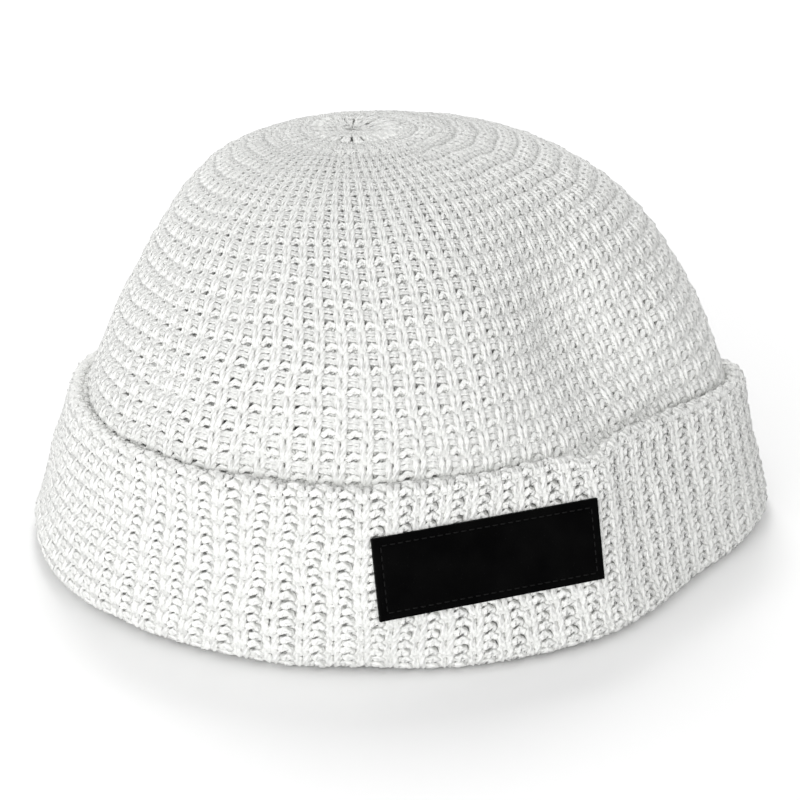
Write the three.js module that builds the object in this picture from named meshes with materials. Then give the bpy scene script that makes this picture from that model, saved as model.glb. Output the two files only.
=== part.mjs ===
// A knitted watch cap standing on its turned-up cuff, in millimetres. Z is up, the front is towards -Y,
// and the origin is on the table, under the middle of the foot.
// "Turn" is an angle in degrees around the cap, from +X towards +Y. "Reach" is a distance from its middle axis.

import * as THREE from "three";

// The turned-up cuff, measured over the crests of its ribs
const FOOT_REACH = 100;
const RIM_REACH = 90;
const CUFF_HEIGHT = 48;
const CUFF_WALL = 5;
const FOLD_ROUND = 3;

// The crown, a hollow dome whose lower end hangs inside the cuff down to the fold
const CAP_HEIGHT = 113.5;
const CROWN_WALL = 3.6;
const CROWN_SIDE_POWER = 2.95;
const CROWN_TOP_POWER = 1.15;
const LAYER_GAP = 0.3;
const FOLD_FLOOR = 6;

// The gather at the top, where all ribs are drawn together
const GATHER_SHIFT_X = -14;
const GATHER_SHIFT_Y = 4;
const GATHER_SHIFT_POWER = 3;
const GATHER_REACH = 13;
const GATHER_DEPTH = 2;
const PLEAT_DEPTH = 1.3;

// The ribs: four times as many round the crown as there are pleats at the gather
const PLEATS = 20;
const RIB_DEPTH = 1;
const PAIRED_REACH = 0.38;
const PLEATED_REACH = 0.2;

// The leather patch, sewn on the cuff at the front, right of the middle. It is stiffer than the knit, so it stays
// flat and draws the cuff to its own plane, which faces a little further round than the patch lies.
const PATCH_TURN = 284;
const PATCH_FACING = 290.5;
const PATCH_TILT = 1.6;
const PATCH_DRAWS_IN = 3;
const PATCH_HOLD_MARGIN = 1.5;
const PATCH_HOLD_SPREAD = 10;
const PATCH_WIDTH = 59.5;
const PATCH_HEIGHT = 20.3;
const PATCH_MIDDLE_HEIGHT = 27.2;
const PATCH_THICKNESS = 1.4;
const PATCH_GAP = 0.3;
const PATCH_EDGE_ROUND = 0.4;

// Plan of the cap every 30 degrees of turn, as shares of FOOT_REACH and RIM_REACH, and how high the cuff is
// turned up there, as a share of CUFF_HEIGHT
const OUTLINE = [
  { turn: 0, foot: 1.04, rim: 1.035, top: 0.89 },
  { turn: 30, foot: 1.03, rim: 1.03, top: 0.84 },
  { turn: 60, foot: 0.98, rim: 0.985, top: 0.83 },
  { turn: 90, foot: 0.965, rim: 0.975, top: 0.83 },
  { turn: 120, foot: 0.985, rim: 1.0, top: 0.83 },
  { turn: 150, foot: 1.01, rim: 1.02, top: 0.85 },
  { turn: 180, foot: 1.045, rim: 1.01, top: 0.89 },
  { turn: 210, foot: 1.045, rim: 1.045, top: 0.97 },
  { turn: 240, foot: 1.005, rim: 1.035, top: 1.0 },
  { turn: 270, foot: 0.965, rim: 0.975, top: 1.0 },
  { turn: 300, foot: 0.965, rim: 0.9, top: 1.0 },
  { turn: 330, foot: 0.915, rim: 0.89, top: 0.98 },
];

// Soft hollows of the crown: where they lie, "along" being the share of the way from the rim to the gather,
// how far they spread, and how deep they go as a share of DENT_DEPTH
const DENT_DEPTH = 4;
const DENTS = [
  { turn: 311, along: 0.2, wide: 24, tall: 0.2, deep: 1 },
  { turn: 268, along: 0.32, wide: 20, tall: 0.3, deep: 0.3 },
  { turn: 205, along: 0.3, wide: 30, tall: 0.25, deep: 0.35 },
  { turn: 80, along: 0.36, wide: 34, tall: 0.22, deep: 0.55 },
  { turn: 140, along: 0.62, wide: 40, tall: 0.2, deep: 0.3 },
];

// Rows of facets
const CUFF_ROWS = 6;
const TUBE_SHARES = [0.9, 0.68, 0.46, 0.27];
const CROWN_ROWS = 13;
const ROUND_STEPS = 3;
const PATCH_COLUMNS = 12;
const PATCH_ROWS = 4;

const RIBS = PLEATS * 4;
const POINTS_ROUND = RIBS * 2;
const DEGREE = Math.PI / 180;
const FULL_TURN = 360;

const mix = (from, to, share) => from + (to - from) * share;
const clamp = (value) => Math.min(1, Math.max(0, value));
const smooth = (share) => clamp(share) ** 2 * (3 - 2 * clamp(share));

// A column of the outline at any turn, on a smooth closed curve through its rows
function outline(column, turn) {
  const place = ((turn / FULL_TURN) * OUTLINE.length + OUTLINE.length) % OUTLINE.length;
  const row = Math.floor(place);
  const u = place - row;
  const [a, b, c, d] = [-1, 0, 1, 2].map((step) => OUTLINE[(row + step + OUTLINE.length) % OUTLINE.length][column]);
  return b + 0.5 * u * (c - a + u * (2 * a - 5 * b + 4 * c - d + u * (3 * (b - c) + d - a)));
}

// Height of the cuff's rim
const rimHeight = (turn) => CUFF_HEIGHT * outline("top", turn);

// Reach of the free cuff's outside over its crests, straight from foot to rim
function freeReach(turn, height) {
  const foot = FOOT_REACH * outline("foot", turn);
  const rim = RIM_REACH * outline("rim", turn);
  return mix(foot, rim, height / CUFF_HEIGHT);
}

// Distance of the patch's plane from the middle axis, at a height; it leans as the cuff does
function planeDistance(height) {
  const seat = Math.cos((PATCH_TURN - PATCH_FACING) * DEGREE);
  return freeReach(PATCH_TURN, height) * seat - PATCH_DRAWS_IN;
}

// How far across the patch's plane a turn lies from the patch's middle
function patchAcross(turn, height) {
  const side = Math.tan((turn - PATCH_FACING) * DEGREE);
  const middle = Math.tan((PATCH_TURN - PATCH_FACING) * DEGREE);
  return planeDistance(height) * (side - middle);
}

// Reach of the cuff's outside where it is sewn to the patch, and free elsewhere
function cuffReach(turn, height) {
  const free = freeReach(turn, height);
  const away = Math.cos((turn - PATCH_FACING) * DEGREE);
  if (away < 0.3) return free;
  const beside = Math.abs(patchAcross(turn, height)) - PATCH_WIDTH / 2 - PATCH_HOLD_MARGIN;
  const above = Math.abs(height - PATCH_MIDDLE_HEIGHT) - PATCH_HEIGHT / 2 - PATCH_HOLD_MARGIN;
  const hold = (1 - smooth(beside / PATCH_HOLD_SPREAD)) * (1 - smooth(above / PATCH_HOLD_SPREAD));
  return mix(free, planeDistance(height) / away, hold);
}

function pointAt(turn, reach, height, shiftX = 0, shiftY = 0) {
  const angle = turn * DEGREE;
  return [shiftX + reach * Math.cos(angle), shiftY + reach * Math.sin(angle), height];
}

// One closed ring of points; every second one is a valley between two ribs
function ring(count, place) {
  return Array.from({ length: count }, (unused, index) => place((index * FULL_TURN) / count, index % 2));
}

// Crown: how far out and how high a meridian is at an angle from 0 at the rim to 90 degrees at the top
function meridian(angle) {
  return {
    reach: Math.cos(angle) ** (2 / CROWN_SIDE_POWER),
    rise: Math.sin(angle) ** (2 / CROWN_TOP_POWER),
  };
}

// The meridian's angles at equal steps of length
function evenAngles(rows) {
  const fine = 400;
  const lengths = [0];
  let last = { reach: 1, rise: 0 };
  for (let step = 1; step <= fine; step += 1) {
    const next = meridian((step / fine) * (Math.PI / 2));
    const out = (next.reach - last.reach) * RIM_REACH;
    const up = (next.rise - last.rise) * (CAP_HEIGHT - CUFF_HEIGHT);
    lengths.push(lengths[step - 1] + Math.hypot(out, up));
    last = next;
  }
  return Array.from({ length: rows + 1 }, (unused, row) => {
    const wanted = (lengths[fine] * row) / rows;
    const step = Math.max(1, lengths.findIndex((length) => length >= wanted));
    const share = (wanted - lengths[step - 1]) / (lengths[step] - lengths[step - 1]);
    return (mix(step - 1, step, share) / fine) * (Math.PI / 2);
  });
}

function dentDepth(turn, along) {
  return DENTS.reduce((sum, dent) => {
    const side = ((turn - dent.turn + FULL_TURN * 1.5) % FULL_TURN) - FULL_TURN / 2;
    return sum + DENT_DEPTH * dent.deep * Math.exp(-((side / dent.wide) ** 2) - ((along - dent.along) / dent.tall) ** 2);
  }, 0) * smooth(along / 0.1);
}

// A point of the crown's dome, moved in from the crests' surface by a depth along its own normal
function crownPoint(turn, angle, along, depth) {
  const foot = rimHeight(turn);
  const base = cuffReach(turn, foot) - CUFF_WALL - LAYER_GAP;
  const at = (a) => {
    const { reach, rise } = meridian(a);
    return { out: base * reach, up: mix(foot, CAP_HEIGHT, rise), reach };
  };
  const here = at(angle);
  const before = at(Math.max(angle - 0.01, 0));
  const after = at(Math.min(angle + 0.01, Math.PI / 2));
  const length = Math.hypot(after.out - before.out, after.up - before.up);
  const normalOut = (after.up - before.up) / length;
  const normalUp = (before.out - after.out) / length;
  const inward = depth + dentDepth(turn, along);
  const drift = (1 - here.reach) ** GATHER_SHIFT_POWER;
  const dimple = GATHER_DEPTH * (1 - smooth(here.out / GATHER_REACH));
  const reach = Math.max(0, here.out - inward * normalOut);
  return pointAt(turn, reach, here.up - inward * normalUp - dimple, GATHER_SHIFT_X * drift, GATHER_SHIFT_Y * drift);
}

// Joins two rings that follow each other down the outside or up the inside; one may have twice the points.
// Each four-sided facet is split from its low corner to its next high one, so that two walls that run side
// by side keep their gap.
function band(triangles, upper, lower) {
  if (upper.length === lower.length) {
    upper.forEach((point, i) => {
      const next = (i + 1) % upper.length;
      const falling = point[2] >= lower[i][2];
      triangles.push([point, lower[i], falling ? upper[next] : lower[next]]);
      triangles.push([upper[next], falling ? lower[i] : point, lower[next]]);
    });
  } else if (upper.length > lower.length) {
    lower.forEach((point, i) => {
      const next = lower[(i + 1) % lower.length];
      const [a, b, c] = [upper[2 * i], upper[2 * i + 1], upper[(2 * i + 2) % upper.length]];
      triangles.push([a, point, b], [b, point, next], [b, next, c]);
    });
  } else {
    upper.forEach((point, i) => {
      const next = upper[(i + 1) % upper.length];
      const [a, b, c] = [lower[2 * i], lower[2 * i + 1], lower[(2 * i + 2) % lower.length]];
      triangles.push([point, a, b], [point, b, next], [next, b, c]);
    });
  }
}

function solid(triangles, name, material) {
  const geometry = new THREE.BufferGeometry();
  geometry.setAttribute("position", new THREE.Float32BufferAttribute(triangles.flat(2), 3));
  geometry.computeVertexNormals();
  const mesh = new THREE.Mesh(geometry, material);
  mesh.name = name;
  return mesh;
}

// A plain ring that follows the cuff at a share of its height, an inset behind its crests
function cuffRing(share, inset) {
  return ring(RIBS, (turn) => {
    const height = share * rimHeight(turn);
    return pointAt(turn, cuffReach(turn, height) - inset, height);
  });
}

// The dome with its gather, and the plain tube below it that hangs inside the cuff
function crown(material) {
  const triangles = [];
  const angles = evenAngles(CROWN_ROWS);
  const outside = [];
  const inside = [];
  const tubeInset = CUFF_WALL + LAYER_GAP;
  for (let row = CROWN_ROWS - 1; row >= 0; row -= 1) {
    const along = row / CROWN_ROWS;
    const { reach } = meridian(angles[row]);
    const pleated = reach < PLEATED_REACH;
    const paired = reach < PAIRED_REACH;
    const count = pleated ? PLEATS * 2 : paired ? PLEATS * 4 : POINTS_ROUND;
    const deep = paired ? PLEAT_DEPTH : mix(PLEAT_DEPTH, RIB_DEPTH, smooth((reach - PAIRED_REACH) * 4));
    outside.push(ring(count, (turn, valley) => crownPoint(turn, angles[row], along, valley * deep)));
    if (row > 0 && row % 2 === 0) {
      const plain = pleated ? PLEATS * 2 : PLEATS * 4;
      inside.unshift(ring(plain, (turn) => crownPoint(turn, angles[row], along, CROWN_WALL)));
    }
  }
  const hem = (inset) => {
    const height = FOLD_FLOOR + LAYER_GAP;
    return ring(RIBS, (turn) => pointAt(turn, cuffReach(turn, height) - inset, height));
  };
  const tubeOutside = TUBE_SHARES.map((share) => cuffRing(share, tubeInset));
  const tubeInside = [...TUBE_SHARES].reverse().map((share) => cuffRing(share, tubeInset + CROWN_WALL));
  const hems = [hem(tubeInset), hem(tubeInset + CROWN_WALL)];
  const rings = [...outside, ...tubeOutside, ...hems, ...tubeInside, ...inside];
  const top = crownPoint(0, Math.PI / 2, 1, 0);
  const underTop = crownPoint(0, Math.PI / 2, 1, CROWN_WALL);
  const first = rings[0];
  const last = rings[rings.length - 1];
  first.forEach((point, i) => triangles.push([top, point, first[(i + 1) % first.length]]));
  rings.slice(1).forEach((lower, i) => band(triangles, rings[i], lower));
  last.forEach((point, i) => triangles.push([last[(i + 1) % last.length], point, underTop]));
  return solid(triangles, "crown", material);
}

// The turned-up band: down its ribbed outside, round the fold, up the fold's inner face, over the floor that
// the crown stands on, up the band's plain inside and over its rounded rim
function cuff(material) {
  const triangles = [];
  const innerEdge = CUFF_WALL + LAYER_GAP + CROWN_WALL;
  const rimRound = CUFF_WALL / 2;
  const ribbed = (inset, heightAt) =>
    ring(POINTS_ROUND, (turn, valley) => {
      const height = heightAt(turn);
      return pointAt(turn, cuffReach(turn, height) - inset - valley * RIB_DEPTH, height);
    });
  const plain = (inset, height) => ring(RIBS, (turn) => pointAt(turn, cuffReach(turn, height) - inset, height));
  const rings = [];
  for (let step = 0; step < ROUND_STEPS; step += 1) {
    const angle = (90 - (90 * step) / ROUND_STEPS) * DEGREE;
    const below = rimRound * (1 - Math.sin(angle));
    rings.push(ribbed(rimRound * (1 - Math.cos(angle)), (turn) => rimHeight(turn) - below));
  }
  for (let row = 0; row <= CUFF_ROWS; row += 1) {
    rings.push(ribbed(0, (turn) => mix(rimHeight(turn) - rimRound, FOLD_ROUND, row / CUFF_ROWS)));
  }
  for (let step = 1; step <= ROUND_STEPS; step += 1) {
    const angle = ((90 * step) / ROUND_STEPS) * DEGREE;
    rings.push(ribbed(FOLD_ROUND * (1 - Math.cos(angle)), () => FOLD_ROUND * (1 - Math.sin(angle))));
  }
  rings.push(plain(innerEdge - FOLD_ROUND / 2, 0), plain(innerEdge, FOLD_ROUND / 2), plain(innerEdge, FOLD_FLOOR));
  rings.push(plain(CUFF_WALL, FOLD_FLOOR), ...[...TUBE_SHARES].reverse().map((share) => cuffRing(share, CUFF_WALL)));
  rings.forEach((upper, i) => band(triangles, upper, rings[(i + 1) % rings.length]));
  return solid(triangles, "cuff", material);
}

// A thin flat plate in the plane that the cuff is drawn to, with its outer edges broken
function patch(material) {
  const triangles = [];
  const middle = Math.tan((PATCH_TURN - PATCH_FACING) * DEGREE) * planeDistance(PATCH_MIDDLE_HEIGHT);
  const tilt = PATCH_TILT * DEGREE;
  const facing = PATCH_FACING * DEGREE;
  const place = (across, up, out) => {
    const height = PATCH_MIDDLE_HEIGHT + across * Math.sin(tilt) + up * Math.cos(tilt);
    const along = middle + across * Math.cos(tilt) - up * Math.sin(tilt);
    const away = planeDistance(height) + out;
    const x = away * Math.cos(facing) - along * Math.sin(facing);
    const y = away * Math.sin(facing) + along * Math.cos(facing);
    return [x, y, height];
  };
  const sheet = (out, edge) =>
    Array.from({ length: PATCH_ROWS + 1 }, (unused, row) =>
      Array.from({ length: PATCH_COLUMNS + 1 }, (unusedToo, column) => {
        const across = (column / PATCH_COLUMNS - 0.5) * (PATCH_WIDTH - 2 * edge);
        const up = (row / PATCH_ROWS - 0.5) * (PATCH_HEIGHT - 2 * edge);
        return place(across, up, out);
      }),
    );
  const back = sheet(PATCH_GAP, 0);
  const shoulder = sheet(PATCH_GAP + PATCH_THICKNESS - PATCH_EDGE_ROUND, 0);
  const front = sheet(PATCH_GAP + PATCH_THICKNESS, PATCH_EDGE_ROUND);
  for (let row = 0; row < PATCH_ROWS; row += 1) {
    for (let column = 0; column < PATCH_COLUMNS; column += 1) {
      const corners = (grid) => [grid[row][column], grid[row][column + 1], grid[row + 1][column + 1], grid[row + 1][column]];
      const [a, b, c, d] = corners(front);
      const [e, f, g, h] = corners(back);
      triangles.push([a, b, c], [a, c, d], [e, g, f], [e, h, g]);
    }
  }
  const border = (grid) => [
    ...grid[0].slice(0, -1),
    ...grid.map((line) => line[PATCH_COLUMNS]).slice(0, -1),
    ...[...grid[PATCH_ROWS]].reverse().slice(0, -1),
    ...grid.map((line) => line[0]).reverse().slice(0, -1),
  ];
  band(triangles, border(front), border(shoulder));
  band(triangles, border(shoulder), border(back));
  return solid(triangles, "leather_patch", material);
}

const knit = new THREE.MeshStandardMaterial({ name: "white_knit", color: 0xeeede8, roughness: 0.92, metalness: 0 });
const leather = new THREE.MeshStandardMaterial({ name: "black_leather", color: 0x0c0c0d, roughness: 0.55, metalness: 0 });

const cap = new THREE.Group();
cap.add(crown(knit), cuff(knit.clone()), patch(leather));

export default cap;
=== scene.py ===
import bpy
import math
import numpy as np
from functools import partial
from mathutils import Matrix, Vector
from mathutils.bvhtree import BVHTree


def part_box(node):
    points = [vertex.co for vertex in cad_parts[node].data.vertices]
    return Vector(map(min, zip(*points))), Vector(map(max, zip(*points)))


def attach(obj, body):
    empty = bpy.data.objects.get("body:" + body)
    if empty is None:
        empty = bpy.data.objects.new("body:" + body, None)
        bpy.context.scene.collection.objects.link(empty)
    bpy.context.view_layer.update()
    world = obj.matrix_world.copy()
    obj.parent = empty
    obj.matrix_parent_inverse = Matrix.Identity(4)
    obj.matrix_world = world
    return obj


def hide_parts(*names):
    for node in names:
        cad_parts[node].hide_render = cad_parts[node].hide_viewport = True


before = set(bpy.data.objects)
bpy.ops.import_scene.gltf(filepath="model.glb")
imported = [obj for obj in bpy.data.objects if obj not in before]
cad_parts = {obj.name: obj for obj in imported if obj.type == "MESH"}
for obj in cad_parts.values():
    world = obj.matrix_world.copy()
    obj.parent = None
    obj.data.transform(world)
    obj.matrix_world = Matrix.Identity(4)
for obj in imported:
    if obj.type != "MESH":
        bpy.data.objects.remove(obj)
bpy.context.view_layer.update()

MM = 0.001
RIBS = 80
RIB_PITCH, UNIT_HEIGHT = 6.4 * MM, 5.8 * MM
FORM_TURNS, FORM_LEVELS = 160, 90
# Rays from outside find the solid's outer face: level ones up the tube behind the cuff, then a fan of
# them towards a spine that leans from the cap's middle to the gather as they steepen, in degrees.
OUTSIDE, ABOVE = 300 * MM, 100 * MM
TUBE_FOOT, TUBE_STEPS = 6.6 * MM, 20
SPINE_HEIGHT, SPINE_GAP = 46 * MM, 2 * MM
STEEPEST_RAY = 89
GATHER_X, GATHER_Y = -14 * MM, 4 * MM
# The solid's pleats are smoothed away towards the gather, from a level on and fully some way above it.
SMOOTH_FROM, SMOOTH_OVER = 0.62, 0.2
SMOOTH_PASSES = (4, 10, 24)
# The left shoulder stands fuller than the solid, and the right front has a narrow hollow above the rim.
# Columns: turn and spread in degrees, level and height as shares of the crown's line, stand outwards.
SOFT_FORMS = (
    (165, 60, 0.73, 0.19, 3.5 * MM),
    (315, 15, 0.42, 0.16, -4.8 * MM),
)
# Round the right front the fabric is slack, and there the yarn lies thicker and closes its holes.
SLACK_TURN, SLACK_SPREAD, SLACK_FULLNESS = 320, 45, 1.2


def cad_walls(node):
    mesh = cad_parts[node].data
    return BVHTree.FromPolygons([v.co for v in mesh.vertices], [list(p.vertices) for p in mesh.polygons])


def evened(line, count):
    """The points of a line moved along it, so that they lie at equal steps."""
    steps = np.linalg.norm(np.diff(line, axis=0), axis=1)
    length = np.concatenate([[0], np.cumsum(steps)])
    wanted = np.linspace(0, length[-1], count)
    return np.column_stack([np.interp(wanted, length, line[:, axis]) for axis in range(3)])


def softened_round(grid, times):
    """Averages a grid round the cap, which takes the solid's ribs out of it."""
    for _ in range(times):
        grid = 0.5 * grid + 0.25 * (np.roll(grid, 1, axis=1) + np.roll(grid, -1, axis=1))
    return grid


def softened_along(grid, times):
    """Averages a grid along its lines, with their ends kept."""
    for _ in range(times):
        grid[1:-1] = 0.5 * grid[1:-1] + 0.25 * (grid[:-2] + grid[2:])
    return grid


def directions(vectors):
    """Vectors brought to a length of one, where they have a length."""
    shortest = 1e-9
    return vectors / np.maximum(np.linalg.norm(vectors, axis=2, keepdims=True), shortest)


def crown_form():
    """Where the crown's surface lies: rows from behind the cuff up to the gather, columns round the cap."""
    walls = cad_walls("crown")
    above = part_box("crown")[1].z + ABOVE
    columns = []
    for column in range(FORM_TURNS):
        turn = 2 * math.pi * column / FORM_TURNS
        out = Vector((math.cos(turn), math.sin(turn), 0))
        line = []
        for height in np.linspace(TUBE_FOOT, SPINE_HEIGHT - SPINE_GAP, TUBE_STEPS):
            line.append(walls.ray_cast(out * OUTSIDE + Vector((0, 0, height)), -out)[0])
        for angle in np.radians(np.linspace(0, STEEPEST_RAY, FORM_LEVELS)):
            drift = math.sin(angle) ** 2
            spine = Vector((GATHER_X * drift, GATHER_Y * drift, SPINE_HEIGHT))
            level = math.cos(angle)
            ray = Vector((level * math.cos(turn), level * math.sin(turn), math.sin(angle)))
            line.append(walls.ray_cast(spine + ray * OUTSIDE, -ray)[0])
        line.append(walls.ray_cast(Vector((GATHER_X, GATHER_Y, above)), Vector((0, 0, -1)))[0])
        columns.append(evened(np.array(line), FORM_LEVELS))
    grid = softened_round(np.array(columns).transpose(1, 0, 2), 2)
    gather = grid[-1].mean(axis=0)
    share = np.clip((np.arange(FORM_LEVELS) / FORM_LEVELS - SMOOTH_FROM) / SMOOTH_OVER, 0, 1)[:, None, None]
    for times in SMOOTH_PASSES:
        grid = grid * (1 - share) + softened_round(grid, times) * share
    grid[-1] = gather
    out = directions(grid - np.array((0, 0, SPINE_HEIGHT)))
    for turn, spread, level, tall, stand in SOFT_FORMS:
        apart = (np.arange(FORM_TURNS) * 360 / FORM_TURNS - turn + 180) % 360 - 180
        higher = np.arange(FORM_LEVELS) / (FORM_LEVELS - 1) - level
        swell = np.outer(np.exp(-((higher / tall) ** 2)), np.exp(-((apart / spread) ** 2)))
        grid = grid + out * swell[..., None] * stand
    return softened_along(grid, 2)


def crown_fullness():
    """How thick the yarn lies at each point of the crown's form, as a share of its own thickness."""
    turns = np.linspace(0, 360, FORM_TURNS + 1)
    apart = np.abs((turns - SLACK_TURN + 180) % 360 - 180) / SLACK_SPREAD
    return np.tile(1 + (SLACK_FULLNESS - 1) * np.exp(-apart ** 2), (FORM_LEVELS, 1))


def store(mesh, label, values):
    """Keeps a number or a vector with each point of a mesh."""
    kind, channel = ("FLOAT_VECTOR", "vector") if values.shape[-1] == 3 else ("FLOAT", "value")
    attribute = mesh.attributes.new(label, kind, "POINT")
    attribute.data.foreach_set(channel, values.astype(np.float32).ravel())


def form_object(name, grid, fullness=None):
    """A hidden sheet that the knit is laid on. Its map runs from 0 to 1 round the cap and up its rows.
    The fullness says how thick the yarn lies there: the knit closes up where the cap is slack."""
    rows, columns = grid.shape[0], grid.shape[1] + 1
    points = np.concatenate([grid, grid[:, :1]], axis=1)
    around = np.roll(grid, -1, axis=1) - np.roll(grid, 1, axis=1)
    around = np.concatenate([around, around[:, :1]], axis=1)
    girth = np.linalg.norm(around, axis=2) * (columns - 1) / 2
    around = directions(around)
    upward = directions(np.gradient(points, axis=0))
    outward = directions(np.cross(around, upward))
    faces = [(r * columns + c, r * columns + c + 1, (r + 1) * columns + c + 1, (r + 1) * columns + c)
             for r in range(rows - 1) for c in range(columns - 1)]
    mesh = bpy.data.meshes.new(name)
    mesh.from_pydata([tuple(p) for p in points.reshape(-1, 3)], [], faces)
    store(mesh, "around", around)
    store(mesh, "upward", upward)
    store(mesh, "outward", outward)
    store(mesh, "girth", girth)
    store(mesh, "fullness", np.ones(points.shape[:2]) if fullness is None else fullness)
    sheet_map = mesh.uv_layers.new(name="sheet")
    places = np.array([(c / (columns - 1), r / (rows - 1)) for r in range(rows) for c in range(columns)])
    corner = np.zeros(len(mesh.loops), int)
    mesh.loops.foreach_get("vertex_index", corner)
    sheet_map.data.foreach_set("uv", places[corner].astype(np.float32).ravel())
    form = bpy.data.objects.new(name, mesh)
    bpy.context.scene.collection.objects.link(form)
    form.hide_render = True
    return form


# The yarn is spun of a few plies, which show as low ridges that wind round it. Its ends are thinner.
YARN_PLIES, PLY_LENGTH = 3, 2.4 * MM
PLY_DEPTH, PLY_TURN = 0.06, math.radians(40)
END_THICKNESS = 0.6


def strand(points, radius, sides, steps, pitch, height):
    """One length of yarn on a smooth curve through a few points: rib widths, unit heights, mm proud.
    It gives the line's points, how far each point of the skin stands off it, the faces and their map."""
    knots = np.array(points, float) * (1, 1, MM)
    knots = np.vstack([2 * knots[0] - knots[1], knots, 2 * knots[-1] - knots[-2]])
    spans = len(points) - 1
    line = []
    for step in range(steps + 1):
        place = spans * step / steps
        span = min(int(place), spans - 1)
        u = place - span
        a, b, c, d = knots[span:span + 4]
        line.append(b + 0.5 * u * (c - a + u * (2 * a - 5 * b + 4 * c - d + u * (3 * (b - c) + d - a))))
    line = np.array(line)
    real = line * (pitch, height, 1)
    length = np.concatenate([[0], np.cumsum(np.linalg.norm(np.diff(real, axis=0), axis=1))])
    tangent = np.gradient(real, axis=0)
    tangent /= np.linalg.norm(tangent, axis=1, keepdims=True)
    proud = np.array([0, 0, 1.0]) - tangent * tangent[:, 2:3]
    proud /= np.linalg.norm(proud, axis=1, keepdims=True)
    beside = np.cross(tangent, proud)
    centres, offsets = [], []
    for ring in range(steps + 1):
        thin = radius * (END_THICKNESS if ring in (0, steps) else 1)
        for side in range(sides):
            angle = 2 * math.pi * side / sides + ring * PLY_TURN
            lobe = 1 + PLY_DEPTH * (-1) ** side if sides % 2 == 0 else 1
            centres.append(line[ring])
            offsets.append(thin * lobe * (beside[ring] * math.cos(angle) + proud[ring] * math.sin(angle)))
    faces, marks = [], []
    for ring in range(steps):
        start, end = length[ring], length[ring + 1]
        for side in range(sides):
            near, far = ring * sides, (ring + 1) * sides
            after = (side + 1) % sides
            left, right = side / sides, (side + 1) / sides
            faces.append((near + side, near + after, far + after, far + side))
            marks += [(left, start), (right, start), (right, end), (left, end)]
    faces.append(tuple(range(sides))[::-1])
    faces.append(tuple(steps * sides + side for side in range(sides)))
    marks += [(side / sides, 0) for side in range(sides)][::-1]
    marks += [(side / sides, length[-1]) for side in range(sides)]
    return np.array(centres), np.array(offsets), faces, np.array(marks)


def mirrored(points, middle):
    return tuple((2 * middle - across, up, proud) for across, up, proud in points)


def unit_object(name, strands, pitch, height, inside=False):
    """One unit of the knit. Its points lie on the strands' lines, and "stand_off" says how far the skin
    stands off them, so that the yarn keeps its thickness wherever the unit is laid."""
    centres, offsets, faces, marks = [], [], [], []
    start = 0
    for points, radius, sides, steps in strands:
        line, skin, skin_faces, skin_marks = strand(points, radius, sides, steps, pitch, height)
        if inside:
            line[:, 2] *= -1
            skin[:, 2] *= -1
            skin_faces = [face[::-1] for face in skin_faces]
        centres.append(line)
        offsets.append(skin)
        marks.append(skin_marks)
        faces += [tuple(start + i for i in face) for face in skin_faces]
        start += len(line)
    mesh = bpy.data.meshes.new(name)
    mesh.from_pydata([tuple(p) for p in np.vstack(centres)], [], faces)
    store(mesh, "stand_off", np.vstack(offsets))
    mesh.uv_layers.new(name="strand").data.foreach_set("uv", np.vstack(marks).astype(np.float32).ravel())
    unit = bpy.data.objects.new(name, mesh)
    bpy.context.scene.collection.objects.link(unit)
    return unit


def feed(tree, socket, source):
    """Links a socket to another one, or sets its own value."""
    if isinstance(source, bpy.types.NodeSocket):
        tree.links.new(source, socket)
    else:
        socket.default_value = source


def maths_node(tree, operation, *sources):
    node = tree.nodes.new("ShaderNodeMath")
    node.operation = operation
    for socket, source in zip(node.inputs, sources):
        feed(tree, socket, source)
    return node.outputs[0]


# A slow noise moves the stitches about, in ribs and in metres proud, so that no two lie quite alike.
WANDER_SCALE, WANDER_DETAIL, WANDER_ROUGHNESS = 0.36, 1.6, 0.35
WANDER_REACH = (1.0, 1.0, 4 * MM)
# Where ribs are crowded the yarn gets slimmer, by a power of the crowding and down to a share.
CROWDING_POWER, SLIMMEST = 0.6, 0.5
FORM_EDGE = 0.002


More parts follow.
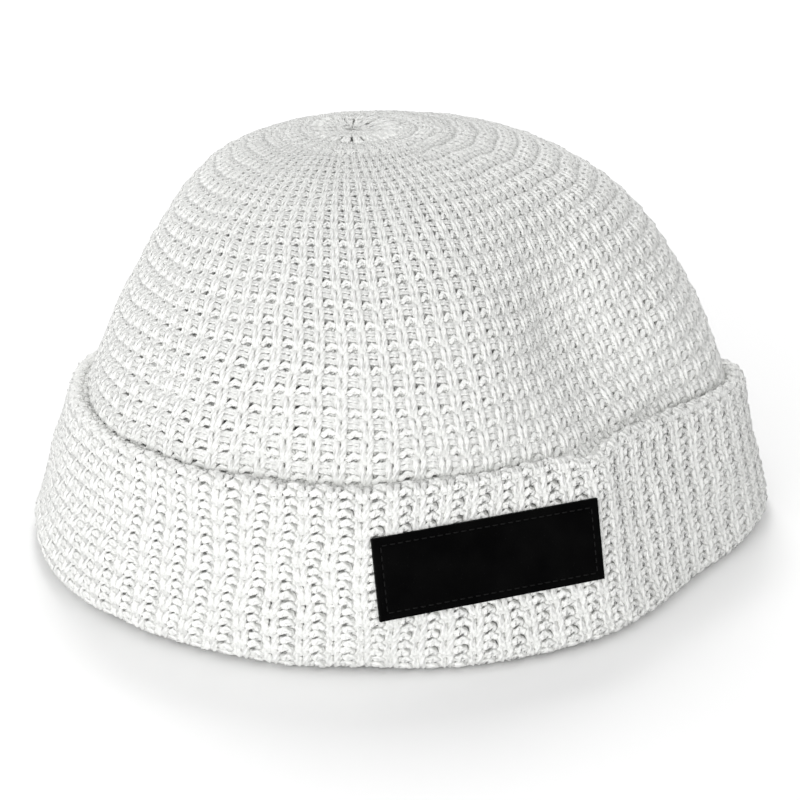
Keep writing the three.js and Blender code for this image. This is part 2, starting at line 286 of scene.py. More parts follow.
def knit_tree():
    """Lays copies of a unit side by side on a form: round it by ribs, up it by rows."""
    tree = bpy.data.node_groups.new("lay_knit", "GeometryNodeTree")
    panel = tree.interface
    panel.new_socket("Unit", in_out="INPUT", socket_type="NodeSocketGeometry")
    inputs = (
        ("Form", "NodeSocketObject", None),
        ("Ribs", "NodeSocketInt", RIBS),
        ("Rows", "NodeSocketInt", 8),
        ("Below", "NodeSocketFloat", 0.0),
        ("Bottom", "NodeSocketFloat", 0.0),
        ("Top", "NodeSocketFloat", 1.0),
        ("Depth", "NodeSocketFloat", 0.0),
        ("Pitch", "NodeSocketFloat", RIB_PITCH),
        ("Unevenness", "NodeSocketFloat", 0.1),
        ("Seed", "NodeSocketFloat", 1.0),
        ("Yarn", "NodeSocketMaterial", None),
    )
    for label, kind, value in inputs:
        socket = panel.new_socket(label, in_out="INPUT", socket_type=kind)
        if value is not None:
            socket.default_value = value
    panel.new_socket("Knit", in_out="OUTPUT", socket_type="NodeSocketGeometry")
    nodes, links = tree.nodes, tree.links
    given = nodes.new("NodeGroupInput").outputs
    put = partial(feed, tree)
    maths = partial(maths_node, tree)

    def vectors(operation, first, second=None, scale=None):
        node = nodes.new("ShaderNodeVectorMath")
        node.operation = operation
        put(node.inputs[0], first)
        if second is not None:
            put(node.inputs[1], second)
        if scale is not None:
            put(node.inputs["Scale"], scale)
        return node.outputs[0]

    def joined(*sources):
        node = nodes.new("ShaderNodeCombineXYZ")
        for socket, source in zip(node.inputs, sources):
            put(socket, source)
        return node.outputs[0]

    def split(source):
        node = nodes.new("ShaderNodeSeparateXYZ")
        put(node.inputs[0], source)
        return node.outputs

    def field(name, kind):
        node = nodes.new("GeometryNodeInputNamedAttribute")
        node.data_type = kind
        node.inputs["Name"].default_value = name
        return node.outputs["Attribute"]

    # The units side by side on a flat grid: one wide for each rib and one high for each row.
    across = maths("SUBTRACT", given["Ribs"], 1.0)
    up = maths("SUBTRACT", given["Rows"], 1.0)
    places = nodes.new("GeometryNodeMeshGrid")
    put(places.inputs["Size X"], across)
    put(places.inputs["Size Y"], up)
    put(places.inputs["Vertices X"], given["Ribs"])
    put(places.inputs["Vertices Y"], given["Rows"])
    laid = nodes.new("GeometryNodeInstanceOnPoints")
    put(laid.inputs["Points"], places.outputs["Mesh"])
    put(laid.inputs["Instance"], given["Unit"])
    real = nodes.new("GeometryNodeRealizeInstances")
    put(real.inputs[0], laid.outputs[0])
    half = joined(maths("MULTIPLY", across, 0.5), maths("MULTIPLY", up, 0.5))
    flat = vectors("ADD", nodes.new("GeometryNodeInputPosition").outputs[0], half)

    # The noise is read on a ring as far round as the knit, so that it runs on past the last rib, and
    # above the rows of the pieces below, so that it runs on from one piece to the next.
    apart = split(flat)
    turn = maths("MULTIPLY", maths("DIVIDE", apart[0], given["Ribs"]), 2 * math.pi)
    reach = maths("DIVIDE", given["Ribs"], 2 * math.pi)
    ring_x = maths("MULTIPLY", maths("COSINE", turn), reach)
    ring_y = maths("MULTIPLY", maths("SINE", turn), reach)
    noise = nodes.new("ShaderNodeTexNoise")
    noise.noise_dimensions = "4D"
    put(noise.inputs["Vector"], joined(ring_x, ring_y, maths("ADD", apart[1], given["Below"])))
    put(noise.inputs["W"], given["Seed"])
    put(noise.inputs["Scale"], WANDER_SCALE)
    put(noise.inputs["Detail"], WANDER_DETAIL)
    put(noise.inputs["Roughness"], WANDER_ROUGHNESS)
    wander = vectors("SUBTRACT", noise.outputs["Color"], (0.5, 0.5, 0.5))
    wander = vectors("MULTIPLY", vectors("SCALE", wander, scale=given["Unevenness"]), WANDER_REACH)
    moved = split(vectors("ADD", flat, wander))

    # Where each point comes to lie on the form's map, and what the form holds there.
    turned = maths("FRACT", maths("DIVIDE", moved[0], given["Ribs"]))
    share = maths("DIVIDE", moved[1], given["Rows"])
    risen = maths("MULTIPLY_ADD", share, maths("SUBTRACT", given["Top"], given["Bottom"]), given["Bottom"])
    spot = joined(turned, maths("MINIMUM", maths("MAXIMUM", risen, FORM_EDGE), 1 - FORM_EDGE))
    form = nodes.new("GeometryNodeObjectInfo")
    put(form.inputs[0], given["Form"])

    def sampled(value, kind):
        node = nodes.new("GeometryNodeSampleUVSurface")
        node.data_type = kind
        put(node.inputs["Mesh"], form.outputs["Geometry"])
        put(node.inputs["Value"], value)
        put(node.inputs["UV Map"], field("sheet", "FLOAT_VECTOR"))
        put(node.inputs["Sample UV"], spot)
        return node.outputs[0]

    ground = sampled(nodes.new("GeometryNodeInputPosition").outputs[0], "FLOAT_VECTOR")
    around = sampled(field("around", "FLOAT_VECTOR"), "FLOAT_VECTOR")
    upward = sampled(field("upward", "FLOAT_VECTOR"), "FLOAT_VECTOR")
    outward = sampled(field("outward", "FLOAT_VECTOR"), "FLOAT_VECTOR")
    girth = sampled(field("girth", "FLOAT"), "FLOAT")
    fullness = sampled(field("fullness", "FLOAT"), "FLOAT")

    # The skin of the yarn stands off its line, slimmer where the ribs are crowded.
    crowding = maths("DIVIDE", maths("DIVIDE", girth, given["Ribs"]), given["Pitch"])
    slim = maths("MINIMUM", maths("MAXIMUM", maths("POWER", crowding, CROWDING_POWER), SLIMMEST), 1.0)
    off = split(field("stand_off", "FLOAT_VECTOR"))
    skin = vectors("ADD", vectors("SCALE", around, scale=off[0]), vectors("SCALE", upward, scale=off[1]))
    skin = vectors("ADD", skin, vectors("SCALE", outward, scale=maths("ADD", off[2], moved[2])))
    skin = vectors("SCALE", skin, scale=maths("MULTIPLY", slim, fullness))
    ground = vectors("ADD", ground, vectors("SCALE", outward, scale=given["Depth"]))
    wrapped = nodes.new("GeometryNodeSetPosition")
    put(wrapped.inputs["Geometry"], real.outputs[0])
    put(wrapped.inputs["Position"], vectors("ADD", ground, skin))
    rounded = nodes.new("GeometryNodeSetShadeSmooth")
    put(rounded.inputs[0], wrapped.outputs[0])
    again = nodes.new("GeometryNodeRealizeInstances")
    put(again.inputs[0], rounded.outputs[0])
    dressed = nodes.new("GeometryNodeSetMaterial")
    put(dressed.inputs["Geometry"], again.outputs[0])
    put(dressed.inputs["Material"], given["Yarn"])
    links.new(dressed.outputs[0], nodes.new("NodeGroupOutput").inputs[0])
    return tree


LAY_KNIT = knit_tree()


def knit_piece(name, node, unit, **sizes):
    """Lays a unit on its form, keeps the plain mesh that comes of it, and rides it on the cap."""
    lay = unit.modifiers.new("knit", "NODES")
    lay.node_group = LAY_KNIT
    for socket in LAY_KNIT.interface.items_tree:
        if socket.in_out == "INPUT" and socket.name in sizes:
            lay[socket.identifier] = sizes[socket.name]
    bpy.context.view_layer.update()
    ready = unit.evaluated_get(bpy.context.evaluated_depsgraph_get())
    mesh = bpy.data.meshes.new_from_object(ready)
    unit.modifiers.remove(lay)
    mesh.attributes.remove(mesh.attributes["stand_off"])
    mesh.name = name
    piece = bpy.data.objects.new(name, mesh)
    bpy.context.scene.collection.objects.link(piece)
    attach(piece, "root")
    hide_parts(node)


def new_finish(name, settings):
    """A material whose surface has these settings, by the shader's own names for them."""
    material = bpy.data.materials.new(name)
    material.use_nodes = True
    surface = material.node_tree.nodes["Principled BSDF"]
    for label, value in settings.items():
        surface.inputs[label].default_value = value
    return material, material.node_tree, surface


def speckle(tree, scale, detail):
    """A noise that stays with the piece."""
    noise = tree.nodes.new("ShaderNodeTexNoise")
    noise.inputs["Scale"].default_value = scale
    noise.inputs["Detail"].default_value = detail
    tree.links.new(tree.nodes.new("ShaderNodeTexCoord").outputs["Object"], noise.inputs["Vector"])
    return noise.outputs["Fac"]


def two_tones(tree, share, low, low_colour, high, high_colour):
    """The low colour where the share is below low, the high one above high, and a blend between."""
    ramp = tree.nodes.new("ShaderNodeValToRGB")
    for stop, place, colour in zip(ramp.color_ramp.elements, (low, high), (low_colour, high_colour)):
        stop.position = place
        stop.color = (*colour, 1)
    tree.links.new(share, ramp.inputs["Fac"])
    return ramp.outputs["Color"]


def relief(tree, height, strength, distance):
    bump = tree.nodes.new("ShaderNodeBump")
    bump.inputs["Strength"].default_value = strength
    bump.inputs["Distance"].default_value = distance
    tree.links.new(height, bump.inputs["Height"])
    return bump.outputs[0]


YARN_COLOUR, YARN_SHADED = (0.965, 0.97, 0.945), 0.94
YARN_SURFACE = {
    "Roughness": 0.85,
    "Sheen Weight": 0.15,
    "Sheen Roughness": 0.5,
    "Specular IOR Level": 0.2,
    "Subsurface Weight": 0.2,
    "Subsurface Radius": (1, 1, 1),
    "Subsurface Scale": 2 * MM,
}
FUZZ_SHARE, YARN_RELIEF = 1.6, 0.22 * MM


def yarn_material():
    """Matt yarn with a little sheen. The plies wind along the strand's own map, under a fine fuzz."""
    material, tree, surface = new_finish("white_knit", YARN_SURFACE)
    maths = partial(maths_node, tree)
    shaded = [part * YARN_SHADED for part in YARN_COLOUR]
    tint = two_tones(tree, speckle(tree, 160, 3), 0.3, shaded, 0.7, YARN_COLOUR)
    tree.links.new(tint, surface.inputs["Base Color"])
    strand_map = tree.nodes.new("ShaderNodeUVMap")
    strand_map.uv_map = "strand"
    place = tree.nodes.new("ShaderNodeSeparateXYZ")
    tree.links.new(strand_map.outputs[0], place.inputs[0])
    round_it, along_it = place.outputs[0], place.outputs[1]
    turns = maths("MULTIPLY_ADD", along_it, 1 / PLY_LENGTH, maths("MULTIPLY", round_it, YARN_PLIES))
    ply = maths("SINE", maths("MULTIPLY", turns, 2 * math.pi))
    height = maths("MULTIPLY_ADD", speckle(tree, 2500, 2), FUZZ_SHARE, ply)
    tree.links.new(relief(tree, height, 1.0, YARN_RELIEF), surface.inputs["Normal"])
    return material


YARN = yarn_material()

# A strand's points are rib widths across, unit heights up and millimetres proud of the form.
LEG = ((0.54, -0.24, -1.0), (0.565, 0.06, 0.0), (0.62, 0.42, 0.15), (0.675, 0.84, 0.05), (0.695, 1.22, -0.7))
HOOKED_BAR = (
    (-0.36, 0.06, -0.6), (-0.17, 0.13, -0.1), (0.06, 0.34, 0.1), (0.20, 0.28, 0.0), (0.36, 0.12, -0.6))
MIDDLE_BAR = ((-0.36, 0.66, -0.6), (-0.12, 0.60, 0.0), (0.12, 0.585, 0.0), (0.36, 0.62, -0.6))
UPPER_BAR = ((-0.36, 0.88, -0.6), (-0.12, 0.86, 0.0), (0.12, 0.865, 0.0), (0.36, 0.91, -0.6))
SPOKE = ((0.36, -0.30, -0.2), (0.37, 0.10, 0.2), (0.38, 0.50, 0.3), (0.39, 0.90, 0.2), (0.40, 1.25, -0.2))
BACK_LEG = ((0.05, -0.14, -0.7), (0.08, 0.45, 0.3), (0.15, 1.12, -0.7))
BACK_BAR = ((0.2, 0.70, -0.8), (0.5, 0.62, -0.2), (0.8, 0.70, -0.8))

# A unit's strands, each with its yarn's radius, and the sides and steps that it is drawn with.
LEG_RADIUS, BAR_RADIUS, WIDER = 1.1 * MM, 1.08 * MM, 1.2
CROWN_UNIT = (
    (LEG, LEG_RADIUS, 6, 5),
    (mirrored(LEG, 0.5), LEG_RADIUS, 6, 5),
    (HOOKED_BAR, BAR_RADIUS, 5, 4),
    (MIDDLE_BAR, BAR_RADIUS, 5, 4),
    (UPPER_BAR, BAR_RADIUS, 5, 4),
)
GATHER_UNIT = (
    (SPOKE, LEG_RADIUS * WIDER, 6, 5),
    (mirrored(SPOKE, 0.5), LEG_RADIUS * WIDER, 6, 5),
)
INSIDE_UNIT = (
    (BACK_LEG, LEG_RADIUS, 4, 3),
    (mirrored(BACK_LEG, 0), LEG_RADIUS, 4, 3),
    (BACK_BAR, BAR_RADIUS * WIDER, 4, 3),
)
KNIT_DEPTH, INSIDE_DEPTH = -0.6 * MM, -1.8 * MM
KNIT_UNEVENNESS, INSIDE_UNEVENNESS = 0.7, 0.1
crown_sheet = form_object("crown_form", crown_form(), crown_fullness())

# The outside, from behind the rim up to the gather. Columns: piece, ribs, rows, level of its top.
crown_unit = unit_object("crown_unit", CROWN_UNIT, RIB_PITCH, UNIT_HEIGHT)
below, bottom = 0.0, 0.19
for name, ribs, rows, top in (
        ("crown_knit_lower", RIBS, 6, 0.395),
        ("crown_knit_middle", RIBS, 6, 0.60),
        ("crown_knit_upper", RIBS, 5, 0.77),
        ("crown_knit_narrow", RIBS, 3, 0.87),
        ("crown_knit_pleats", RIBS // 2, 2, 0.93)):
    knit_piece(name, "crown", crown_unit, Form=crown_sheet, Ribs=ribs, Rows=rows, Below=below, Bottom=bottom,
               Top=top, Depth=KNIT_DEPTH, Seed=1.0, Unevenness=KNIT_UNEVENNESS, Yarn=YARN)
    below, bottom = below + rows, top
gather_unit = unit_object("gather_unit", GATHER_UNIT, RIB_PITCH, UNIT_HEIGHT)
knit_piece("crown_knit_gather", "crown", gather_unit, Form=crown_sheet, Ribs=RIBS // 4, Rows=2, Bottom=0.925,
           Top=1.0, Depth=KNIT_DEPTH, Seed=5.0, Unevenness=KNIT_UNEVENNESS, Yarn=YARN)

# The inside, from the foot of the tube up. Columns: piece, ribs, rows, level of its top, seed.
inside_unit = unit_object("inside_unit", INSIDE_UNIT, RIB_PITCH, UNIT_HEIGHT, inside=True)
bottom = 0.0
for name, ribs, rows, top, seed in (
        ("crown_inside_lower", RIBS, 14, 0.395, 6.0),
        ("crown_inside_upper", RIBS, 11, 0.77, 7.0),
        ("crown_inside_top", RIBS // 4, 7, 1.0, 8.0)):
    knit_piece(name, "crown", inside_unit, Form=crown_sheet, Ribs=ribs, Rows=rows, Bottom=bottom, Top=top,
               Depth=INSIDE_DEPTH, Seed=seed, Unevenness=INSIDE_UNEVENNESS, Yarn=YARN)
    bottom = top
for spent in (crown_unit, gather_unit, inside_unit, crown_sheet):
    bpy.data.objects.remove(spent)

# The cuff: the same tube turned up on the outside, so that its other face shows, with a soft rolled rim
# and a round fold at the foot. Its units are wider and lower than the crown's, with a tall V on the
# raised column and two arched bars across the sunken one.
CUFF_RIB_PITCH, CUFF_UNIT_HEIGHT = 7.4 * MM, 4.7 * MM
BESIDE_CUFF, ABOVE_CUFF = 200 * MM, 200 * MM
FOOT_MEASURED_AT, RIM_MEASURED_AT = 4 * MM, 36 * MM
RIM_SEARCH = 6
FOLD_HALF_WIDTH, FOLD_HALF_HEIGHT = 4.4 * MM, 4.2 * MM
FACE_FOOT, FACE_TOP_GAP = 7 * MM, 4.5 * MM
RIM_ROUND, RIM_FACE_GAP, RIM_TUCK = 2.9 * MM, 3.4 * MM, 9 * MM
# The rim dips behind the crown, more on the right, as the sine of the turn goes past a value.
BACK_DROP, SIDE_DROP = 4.0 * MM, 1.5 * MM
DROP_FROM, DROP_OVER = -0.1, 0.6
# The foot is lifted by the yarn under it.
FOOT_LIFT, FOOT_LIFT_HEIGHT = 1.4 * MM, 8 * MM


def cuff_form():
    """From inside the foot, under the fold, up the face, over the rim and down behind it."""
    walls = cad_walls("cuff")
    columns = []
    for column in range(FORM_TURNS):
        turn = 2 * math.pi * column / FORM_TURNS
        out = Vector((math.cos(turn), math.sin(turn), 0))

        def face(height):
            return walls.ray_cast(out * BESIDE_CUFF + Vector((0, 0, height)), -out)[0].to_2d().length

        foot = face(FOOT_MEASURED_AT)
        rim_hits = []
        for inward in range(RIM_SEARCH):
            start = out * (face(RIM_MEASURED_AT) - inward * MM) + Vector((0, 0, ABOVE_CUFF))
            rim_hits.append(walls.ray_cast(start, Vector((0, 0, -1)))[0])
        behind = min(max((math.sin(turn) - DROP_FROM) / DROP_OVER, 0), 1)
        top = max(hit.z for hit in rim_hits if hit)
        top -= (BACK_DROP + SIDE_DROP * math.cos(turn)) * behind ** 2 * (3 - 2 * behind)
        line = []
        for angle in np.radians(np.linspace(180, 0, 10)):
            reach = foot - FOLD_HALF_WIDTH * (1 - math.cos(angle))
            line.append((reach, FOLD_HALF_HEIGHT * (1 - math.sin(angle))))
        for height in np.linspace(FACE_FOOT, top - FACE_TOP_GAP, 14):
            line.append((face(height), height))
        middle = face(top - RIM_FACE_GAP) - RIM_ROUND
        for angle in np.radians(np.linspace(10, 180, 9)):
            line.append((middle + RIM_ROUND * math.cos(angle), top - RIM_ROUND * (1 - math.sin(angle))))
        line.append((middle - RIM_ROUND, top - RIM_TUCK))
        points = []
        for reach, height in line:
            lift = FOOT_LIFT * max(0, 1 - height / FOOT_LIFT_HEIGHT)
            points.append((out.x * reach, out.y * reach, height + lift))
        columns.append(evened(np.array(points), FORM_LEVELS))
    return softened_along(softened_round(np.array(columns).transpose(1, 0, 2), 2), 1)


CUFF_LEG = (
    (0.55, -0.26, -1.0), (0.575, 0.06, 0.0), (0.63, 0.45, 0.15), (0.68, 0.88, 0.05), (0.70, 1.24, -0.7))
LOWER_ARCH = (
    (-0.34, -0.10, -0.4), (-0.20, 0.24, 0.2), (-0.06, 0.36, 0.3), (0.10, 0.24, 0.2), (0.28, -0.10, -0.4))
UPPER_ARCH = (
    (-0.28, 0.42, -0.4), (-0.10, 0.74, 0.2), (0.06, 0.86, 0.3), (0.20, 0.74, 0.2), (0.34, 0.42, -0.4))
CUFF_LEG_RADIUS, CUFF_BAR_RADIUS = 1.3 * MM, 1.28 * MM
CUFF_UNIT = (
    (CUFF_LEG, CUFF_LEG_RADIUS, 6, 5),
    (mirrored(CUFF_LEG, 0.5), CUFF_LEG_RADIUS, 6, 5),
    (LOWER_ARCH, CUFF_BAR_RADIUS, 5, 4),
    (UPPER_ARCH, CUFF_BAR_RADIUS, 5, 4),
)
cuff_grid = cuff_form()
cuff_sheet = form_object("cuff_form", cuff_grid)
cuff_unit = unit_object("cuff_unit", CUFF_UNIT, CUFF_RIB_PITCH, CUFF_UNIT_HEIGHT)
below, bottom = 0.0, 0.0
for name, rows, top in (("cuff_knit_foot", 8, 0.52), ("cuff_knit_rim", 7, 1.0)):
    knit_piece(name, "cuff", cuff_unit, Form=cuff_sheet, Ribs=RIBS, Rows=rows, Below=below, Bottom=bottom,
               Top=top, Depth=KNIT_DEPTH, Pitch=CUFF_RIB_PITCH, Seed=9.0, Unevenness=KNIT_UNEVENNESS,
               Yarn=YARN)
    below, bottom = below + rows, top
bpy.data.objects.remove(cuff_unit)
bpy.data.objects.remove(cuff_sheet)

# Behind the cuff's knit lies the next layer of the fabric, which is what shows in its holes. It is a
# closed soft sheet, laid a little below the knit.
BACKING_DEPTH, BACKING_WALL = 1.2 * MM, 0.4 * MM


def cuff_backing(grid):
    around = np.roll(grid, -1, axis=1) - np.roll(grid, 1, axis=1)
    outward = directions(np.cross(around, np.gradient(grid, axis=0)))
    outer = grid - outward * BACKING_DEPTH
    inner = grid - outward * (BACKING_DEPTH + BACKING_WALL)
    points = np.concatenate([outer, inner[::-1]])
    rows, columns = points.shape[:2]
    faces = []
    for row in range(rows):
        here, above = row * columns, (row + 1) % rows * columns
        for column in range(columns):
            after = (column + 1) % columns
            faces.append((here + column, here + after, above + after, above + column))
    mesh = bpy.data.meshes.new("cuff_back")
    mesh.from_pydata([tuple(p) for p in points.reshape(-1, 3)], [], faces)
    mesh.polygons.foreach_set("use_smooth", [True] * len(faces))
    return bpy.data.objects.new("cuff_back", mesh)


backing = cuff_backing(cuff_grid[::2])
backing.data.materials.append(YARN)
bpy.context.scene.collection.objects.link(backing)
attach(backing, "root")
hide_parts("cuff")

# The patch: a flat piece of smooth black leather with its cut edges a little rounded. A line is pressed
# in near its edge, and black thread runs in it and sews the patch to the front of the cuff. It is bare.
PATCH_WIDTH, PATCH_HEIGHT, PATCH_THICKNESS = 60.7 * MM, 21.0 * MM, 1.4 * MM
PATCH_TURN, PATCH_RISE = 0.016, 0.4 * MM
PATCH_EDGE_ROUND = 0.4 * MM
SEAM_INSET, SEAM_WIDTH, SEAM_DEPTH = 2.0 * MM, 0.35 * MM, 0.16 * MM
STITCH_PITCH, STITCH_LENGTH, STITCH_RADIUS = 2.1 * MM, 1.6 * MM, 0.2 * MM
# The leather swells a little between its edges, in slow waves: radians across it and up it.
LEATHER_SWELL, WAVES_ACROSS, WAVES_UP = 0.05 * MM, 9, 4
# Places measured in from the patch's edge, close together at the edge and at the pressed line, in mm.
EDGE_PLACES = (0, 0.06, 0.16, 0.28, 0.4, 0.8, 1.3, 1.6, 1.75, 1.9, 2.0, 2.1, 2.25, 2.4, 2.7, 3.2)
MIDDLE_FROM, MIDDLE_STEP = 4 * MM, 2 * MM


def patch_frame():
    """The middle of the patch's back, and its directions across, up and out, found from the solid."""
    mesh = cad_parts["leather_patch"].data
    points = np.array([v.co[:] for v in mesh.vertices])
    middle = points.mean(axis=0)
    across, up, _ = np.linalg.svd(points - middle, full_matrices=False)[2]
    across = across * np.sign(across[0])
    up = up * np.sign(up[2])
    out = np.cross(across, up)
    low = ((points - middle) @ out).min()
    ends = [((points - middle) @ way) for way in (across, up)]
    middle = middle + across * (ends[0].max() + ends[0].min()) / 2 + up * (ends[1].max() + ends[1].min()) / 2
    turned = across - up * PATCH_TURN
    turned /= np.linalg.norm(turned)
    return middle + up * PATCH_RISE + out * low, turned, np.cross(out, turned), out


patch_back, patch_across, patch_up, patch_out = patch_frame()


def patch_point(across, up, out):
    return tuple(patch_back + patch_across * across + patch_up * up + patch_out * out)


def patch_relief(across, up):
    """How far the leather's face lies below its full thickness."""
    edge = min(PATCH_WIDTH / 2 - abs(across), PATCH_HEIGHT / 2 - abs(up))
    rounding = max(0, PATCH_EDGE_ROUND - edge)
    rounded = PATCH_EDGE_ROUND - math.sqrt(max(0, PATCH_EDGE_ROUND ** 2 - rounding ** 2))
    pressed = SEAM_DEPTH * math.exp(-((edge - SEAM_INSET) / SEAM_WIDTH) ** 2)
    wave = math.sin(across / PATCH_WIDTH * WAVES_ACROSS + 1) * math.cos(up / PATCH_HEIGHT * WAVES_UP)
    return rounded + pressed + LEATHER_SWELL * wave * min(1, edge / SEAM_INSET)


def patch_steps(length):
    """Places across the patch, from one edge to the other, measured from its middle."""
    edge = [place * MM for place in EDGE_PLACES]
    count = max(3, int(length / MIDDLE_STEP))
    middle = list(np.linspace(MIDDLE_FROM, length - MIDDLE_FROM, count))
    return [place - length / 2 for place in edge + middle + [length - place for place in edge[::-1]]]


def patch_piece():
    across, up = patch_steps(PATCH_WIDTH), patch_steps(PATCH_HEIGHT)
    rows, columns = len(up), len(across)
    points = [patch_point(a, u, PATCH_THICKNESS - patch_relief(a, u)) for u in up for a in across]
    points += [patch_point(a, u, 0) for u in up for a in across]
    faces = []
    for row in range(rows - 1):
        for column in range(columns - 1):
            first = row * columns + column
            face = (first, first + 1, first + columns + 1, first + columns)
            faces.append(face)
            faces.append(tuple(i + rows * columns for i in face[::-1]))
    rim = list(range(columns))
    rim += [row * columns + columns - 1 for row in range(1, rows)]
    rim += [(rows - 1) * columns + column for column in range(columns - 2, -1, -1)]
    rim += [row * columns for row in range(rows - 2, 0, -1)]
    for here, after in zip(rim, rim[1:] + rim[:1]):
        faces.append((after, here, here + rows * columns, after + rows * columns))
    mesh = bpy.data.meshes.new("patch_leather")
    mesh.from_pydata(points, [], faces)
    mesh.polygons.foreach_set("use_smooth", [True] * len(faces))
    return bpy.data.objects.new("patch_leather", mesh)


# A stitch's rings: where along it, as a share of its length, how thick, and how high over the line.
STITCH_SIDES = 6
STITCH_RINGS = (
    (-0.5, 0.45, -0.2 * MM),
    (-0.36, 1, 0.02 * MM),
    (-0.12, 1, 0.12 * MM),
    (0.12, 1, 0.12 * MM),
    (0.36, 1, 0.02 * MM),
    (0.5, 0.45, -0.2 * MM),
)


def stitch_row():
    """Short runs of thread round the pressed line, each a little hump that dives in at both ends."""
    wide, tall = PATCH_WIDTH / 2 - SEAM_INSET, PATCH_HEIGHT / 2 - SEAM_INSET
    corners = [(-wide, -tall), (wide, -tall), (wide, tall), (-wide, tall)]
    last_ring = (len(STITCH_RINGS) - 1) * STITCH_SIDES
    points, faces = [], []
    for (x0, y0), (x1, y1) in zip(corners, corners[1:] + corners[:1]):
        length = math.hypot(x1 - x0, y1 - y0)
        count = round(length / STITCH_PITCH)
        way_x, way_y = (x1 - x0) / length, (y1 - y0) / length
        for index in range(count):
            middle = (index + 0.5) / count * length
            start = len(points)
            for share, thickness, over in STITCH_RINGS:
                along = middle + share * STITCH_LENGTH
                thick = STITCH_RADIUS * thickness
                high = PATCH_THICKNESS - SEAM_DEPTH + over
                for side in range(STITCH_SIDES):
                    angle = 2 * math.pi * side / STITCH_SIDES
                    beside = thick * math.cos(angle)
                    x, y = x0 + way_x * along - way_y * beside, y0 + way_y * along + way_x * beside
                    points.append(patch_point(x, y, high + thick * math.sin(angle)))
            for ring in range(len(STITCH_RINGS) - 1):
                near = start + ring * STITCH_SIDES
                far = near + STITCH_SIDES
                for side in range(STITCH_SIDES):
                    after = (side + 1) % STITCH_SIDES
                    faces.append((near + side, far + side, far + after, near + after))
            faces.append(tuple(start + side for side in range(STITCH_SIDES)))
            faces.append(tuple(start + last_ring + side for side in range(STITCH_SIDES))[::-1])
    mesh = bpy.data.meshes.new("patch_thread")
    mesh.from_pydata(points, [], faces)
    mesh.polygons.foreach_set("use_smooth", [True] * len(faces))
    return bpy.data.objects.new("patch_thread", mesh)


LEATHER_COLOUR, SCUFFED_COLOUR = (0.0008, 0.0008, 0.0009), (0.0022, 0.0022, 0.0022)
LEATHER_ROUGHNESS, SCUFFED_ROUGHNESS = 0.6, 0.45
LEATHER_RELIEF, THREAD_RELIEF = 0.1 * MM, 0.08 * MM


def leather_material():
    """Black leather with a fine grain. Where it is scuffed it is a little paler and smoother."""
    material, tree, surface = new_finish("black_leather", {"Specular IOR Level": 0.015})
    scuffs = speckle(tree, 120, 5)
    tint = two_tones(tree, scuffs, 0.35, LEATHER_COLOUR, 0.75, SCUFFED_COLOUR)
    tree.links.new(tint, surface.inputs["Base Color"])
    gloss = tree.nodes.new("ShaderNodeMapRange")
    gloss.inputs["From Min"].default_value = 0.3
    gloss.inputs["From Max"].default_value = 0.7
    gloss.inputs["To Min"].default_value = LEATHER_ROUGHNESS
    gloss.inputs["To Max"].default_value = SCUFFED_ROUGHNESS
    tree.links.new(scuffs, gloss.inputs["Value"])
    tree.links.new(gloss.outputs["Result"], surface.inputs["Roughness"])
    grain = tree.nodes.new("ShaderNodeTexVoronoi")
    grain.inputs["Scale"].default_value = 1500
    tree.links.new(tree.nodes.new("ShaderNodeTexCoord").outputs["Object"], grain.inputs["Vector"])
    pores = relief(tree, grain.outputs["Distance"], 0.35, LEATHER_RELIEF)
    tree.links.new(pores, surface.inputs["Normal"])
    return material


def thread_material():
    settings = {"Base Color": (0.003, 0.003, 0.003, 1), "Roughness": 0.6, "Specular IOR Level": 0.12}
    material, tree, surface = new_finish("black_thread", settings)
    tree.links.new(relief(tree, speckle(tree, 5000, 2), 0.5, THREAD_RELIEF), surface.inputs["Normal"])
    return material


for piece, material in ((patch_piece(), leather_material()), (stitch_row(), thread_material())):
    piece.data.materials.append(material)
    bpy.context.scene.collection.objects.link(piece)
    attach(piece, "root")
    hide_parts("leather_patch")

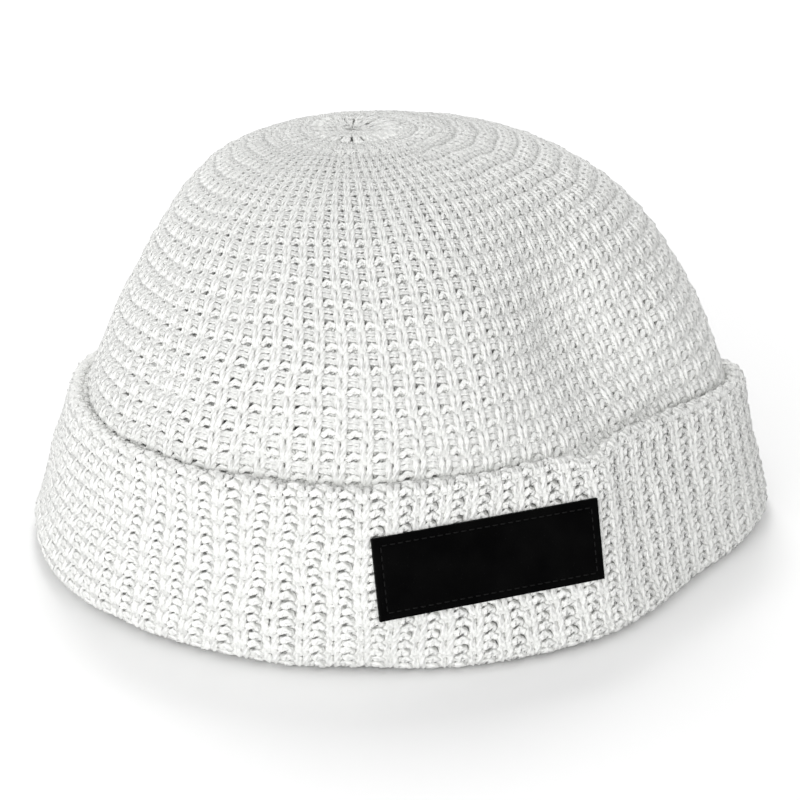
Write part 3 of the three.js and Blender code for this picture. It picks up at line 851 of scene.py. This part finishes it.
# The studio: a pale floor under a white world, one large soft light from the front left and a small one
# from above and behind, and the camera at the photo's angle, above the front of the cap.
FLOOR_REACH = 3
floor_mesh = bpy.data.meshes.new("floor")
floor_corners = [(x * FLOOR_REACH, y * FLOOR_REACH, 0) for x, y in ((-1, -1), (1, -1), (1, 1), (-1, 1))]
floor_mesh.from_pydata(floor_corners, [], [(0, 1, 2, 3)])
floor = bpy.data.objects.new("floor", floor_mesh)
bpy.context.scene.collection.objects.link(floor)
floor.data.materials.append(new_finish("floor", {"Base Color": (0.9, 0.9, 0.9, 1), "Roughness": 1})[0])

world = bpy.data.worlds.new("studio")
world.use_nodes = True
world.node_tree.nodes["Background"].inputs["Color"].default_value = (1, 1, 1, 1)
world.node_tree.nodes["Background"].inputs["Strength"].default_value = 0.76
bpy.context.scene.world = world
LIGHT_TARGET = Vector((0, 0, 0.05))


def soft_light(name, place, size, power):
    light = bpy.data.lights.new(name, "AREA")
    light.size = size
    light.energy = power
    lamp = bpy.data.objects.new(name, light)
    lamp.location = place
    lamp.rotation_mode = "QUATERNION"
    lamp.rotation_quaternion = (LIGHT_TARGET - Vector(place)).to_track_quat("-Z", "Y")
    bpy.context.scene.collection.objects.link(lamp)


soft_light("key", place=(-0.4, -1.3, 0.26), size=1.2, power=16)
soft_light("top", place=(-0.05, 0.6, 0.85), size=0.3, power=3.6)

# The camera's height, distance and lens were fitted to the outlines of the cap in the photo.
CAMERA_ELEVATION, CAMERA_AWAY = math.radians(23), 0.7
LOOK_AT = Vector((-0.00114, 0, 0.03473))
FOCAL_PIXELS, PHOTO_PIXELS, SENSOR = 2505.8, 800, 36
camera = bpy.data.objects.new("camera", bpy.data.cameras.new("camera"))
camera.data.sensor_width = SENSOR
camera.data.lens = SENSOR * FOCAL_PIXELS / PHOTO_PIXELS
towards_camera = Vector((0, -math.cos(CAMERA_ELEVATION), math.sin(CAMERA_ELEVATION)))
camera.location = LOOK_AT + towards_camera * CAMERA_AWAY
camera.rotation_mode = "QUATERNION"
camera.rotation_quaternion = (-towards_camera).to_track_quat("-Z", "Y")
bpy.context.scene.collection.objects.link(camera)
bpy.context.scene.camera = camera
bpy.context.scene.view_settings.view_transform = "Standard"
